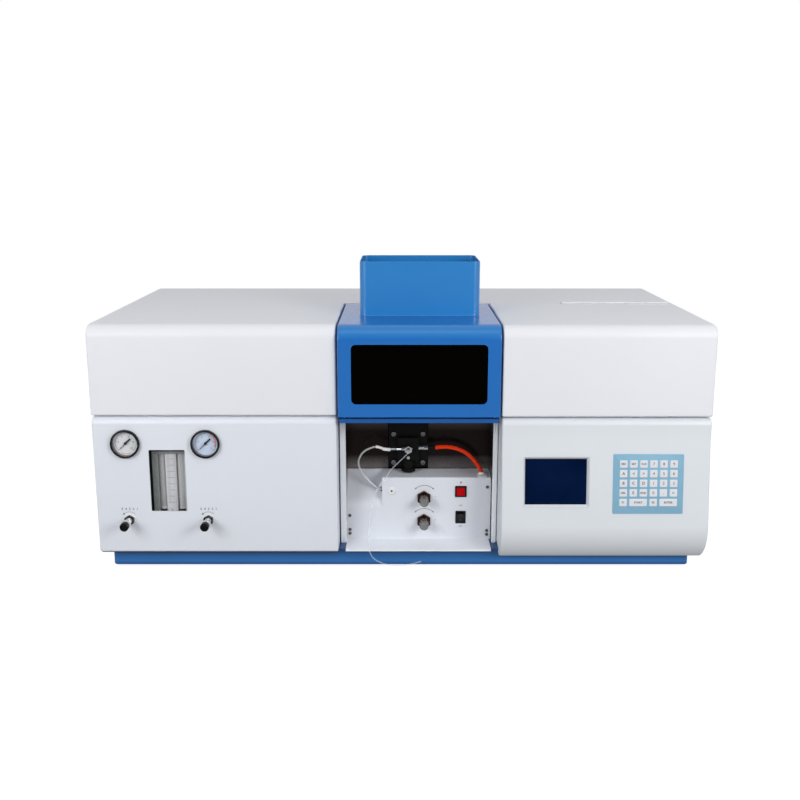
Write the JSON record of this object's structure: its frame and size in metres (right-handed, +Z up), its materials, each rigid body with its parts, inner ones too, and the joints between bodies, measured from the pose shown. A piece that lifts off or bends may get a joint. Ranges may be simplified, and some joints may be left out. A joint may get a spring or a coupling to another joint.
{
  "type": "atomic absorption spectrophotometer",
  "caption": "Bench atomic absorption spectrophotometer: white housings on a blue plinth, tip-up flame hood with chimney over the burner bay, gas gauges, valves, display and keypad.",
  "frame": {"origin": "centre of the outer box on the table, under the feet", "axes": "+X to the operator's right, +Y from front to back, +Z up"},
  "size_m": [1.02, 0.546, 0.514],
  "materials": {
    "plinth_blue": "satin",
    "rubber": "matte",
    "cool_white": "satin",
    "cover_white": "satin",
    "hood_blue": "satin",
    "dark_liner": "matte",
    "smoked_glass": "gloss",
    "clear_glass": "gloss",
    "black_plastic": "satin",
    "white_plastic": "satin",
    "red_plastic": "gloss",
    "steel": "brushed",
    "chrome": "polished",
    "brass": "plain",
    "alu": "satin",
    "acrylic": "gloss",
    "frame_grey": "satin",
    "display_navy": "gloss",
    "keypad_blue": "satin",
    "board_green": "satin",
    "black_metal": "satin",
    "hose_red": "satin",
    "clear_tube": "satin",
    "lamp_glass": "gloss"
  },
  "bodies": {
    "chassis": {"base_tray": "plinth_blue", "rubber_feet": "rubber", "left_housing": "cool_white", "right_housing": "cool_white", "left_cover": "cover_white", "right_rear_cover": "cover_white", "centre_rear_cover": "cover_white", "rear_panel": "cool_white", "compartment_side_walls": "dark_liner", "compartment_back_wall": "dark_liner", "side_trims": "cool_white", "hood_rail": "hood_blue", "control_box": "cool_white", "panel_screws": "steel", "panel_bushes": "white_plastic", "knob_bushings": "black_plastic", "switch_bezels": "black_plastic", "gauge_cases": "black_metal", "gauge_lenses": "clear_glass", "flowmeter_block": "acrylic", "valve_bodies": "chrome", "display_frame": "frame_grey", "display_panel": "display_navy", "keypad_membrane": "keypad_blue", "monochromator_case": "alu", "lamp_bracket": "alu", "power_supply": "alu", "control_board": "board_green", "mains_inlet": "black_plastic", "gas_inlets": "brass", "beam_windows": "clear_glass", "fixed_hinge_leaves": "cover_white", "hinge_pins": "steel", "slide_rails": "steel"},
    "hood": {"hood_shell": "hood_blue", "hood_window": "smoked_glass", "chimney": "hood_blue"},
    "lamp_lid": {"lamp_lid": "cover_white"},
    "carriage": {"slide_carriage": "alu", "fuel_hose": "hose_red", "air_tube": "clear_tube", "sample_capillary": "clear_tube"},
    "burner": {"lift_platform": "alu", "mixing_chamber": "black_plastic", "burner_block": "black_plastic", "block_screws": "steel", "burner_head": "steel", "nebulizer": "steel"},
    "height_knob": {"height_knob": "alu"},
    "fore_aft_knob": {"fore_aft_knob": "alu"},
    "air_valve_knob": {"air_valve_knob": "chrome"},
    "fuel_valve_knob": {"fuel_valve_knob": "chrome"},
    "ignition_button": {"ignition_button": "red_plastic"},
    "power_rocker": {"power_rocker": "black_plastic"},
    "air_pointer": {"air_pointer": "black_plastic"},
    "fuel_pointer": {"fuel_pointer": "black_plastic"},
    "air_float": {"air_float": "black_plastic"},
    "fuel_float": {"fuel_float": "black_plastic"},
    "lamp_turret": {"lamp_turret": "alu", "cathode_lamps": "lamp_glass"}
  },
  "joints": [
    {"name": "hood_tip", "type": "hinge", "parent": "chassis", "child": "hood", "pos_m": [0.03, 0.015, 0.4222], "axis": [-1, 0, 0], "range_deg": [0, 70]},
    {"name": "lid_tip", "type": "hinge", "parent": "chassis", "child": "lamp_lid", "pos_m": [0.4, 0.014, 0.4222], "axis": [-1, 0, 0], "range_deg": [0, 75]},
    {"name": "burner_fore_aft", "type": "slide", "parent": "chassis", "child": "carriage", "axis": [0, 1, 0], "range_m": [-0.005, 0.005]},
    {"name": "burner_lift", "type": "slide", "parent": "carriage", "child": "burner", "axis": [0, 0, 1], "range_m": [0, 0.014], "deforming": ["fuel_hose", "air_tube", "sample_capillary"]},
    {"name": "height_turn", "type": "hinge", "parent": "chassis", "child": "height_knob", "pos_m": [0.04, -0.195, 0.1086], "axis": [0, -1, 0], "range_deg": [-5, 105]},
    {"name": "fore_aft_turn", "type": "hinge", "parent": "chassis", "child": "fore_aft_knob", "pos_m": [0.04, -0.195, 0.0662], "axis": [0, -1, 0], "range_deg": [-905, 905]},
    {"name": "air_valve_turn", "type": "hinge", "parent": "chassis", "child": "air_valve_knob", "pos_m": [-0.456, -0.265, 0.09], "axis": [0, -1, 0], "range_deg": [0, 1080]},
    {"name": "fuel_valve_turn", "type": "hinge", "parent": "chassis", "child": "fuel_valve_knob", "pos_m": [-0.3235, -0.265, 0.09], "axis": [0, -1, 0], "range_deg": [0, 1080]},
    {"name": "ignition_press", "type": "slide", "parent": "chassis", "child": "ignition_button", "axis": [0, 1, 0], "range_m": [0, 0.003], "stiffness_N_per_m": 400},
    {"name": "power_rock", "type": "hinge", "parent": "chassis", "child": "power_rocker", "pos_m": [0.104, -0.175, 0.073], "axis": [-1, 0, 0], "range_deg": [0, 16]},
    {"name": "air_gauge_turn", "type": "hinge", "parent": "chassis", "child": "air_pointer", "pos_m": [-0.456, -0.235, 0.223], "axis": [0, 1, 0], "range_deg": [0, 270], "stiffness_Nm_per_rad": 0.0005},
    {"name": "fuel_gauge_turn", "type": "hinge", "parent": "chassis", "child": "fuel_pointer", "pos_m": [-0.3235, -0.235, 0.223], "axis": [0, 1, 0], "range_deg": [0, 270], "stiffness_Nm_per_rad": 0.0005},
    {"name": "air_float_rise", "type": "slide", "parent": "chassis", "child": "air_float", "axis": [0, 0, 1], "range_m": [0, 0.09]},
    {"name": "fuel_float_rise", "type": "slide", "parent": "chassis", "child": "fuel_float", "axis": [0, 0, 1], "range_m": [0, 0.09]},
    {"name": "turret_turn", "type": "hinge", "parent": "chassis", "child": "lamp_turret", "pos_m": [0.4, -0.123, 0.3], "axis": [1, 0, 0], "continuous": true}
  ],
  "couplings": [
    {"joint": "height_turn", "follows": "burner_lift", "rad_per_m": 125},
    {"joint": "fore_aft_turn", "follows": "burner_fore_aft", "rad_per_m": 3141.6}
  ]
}
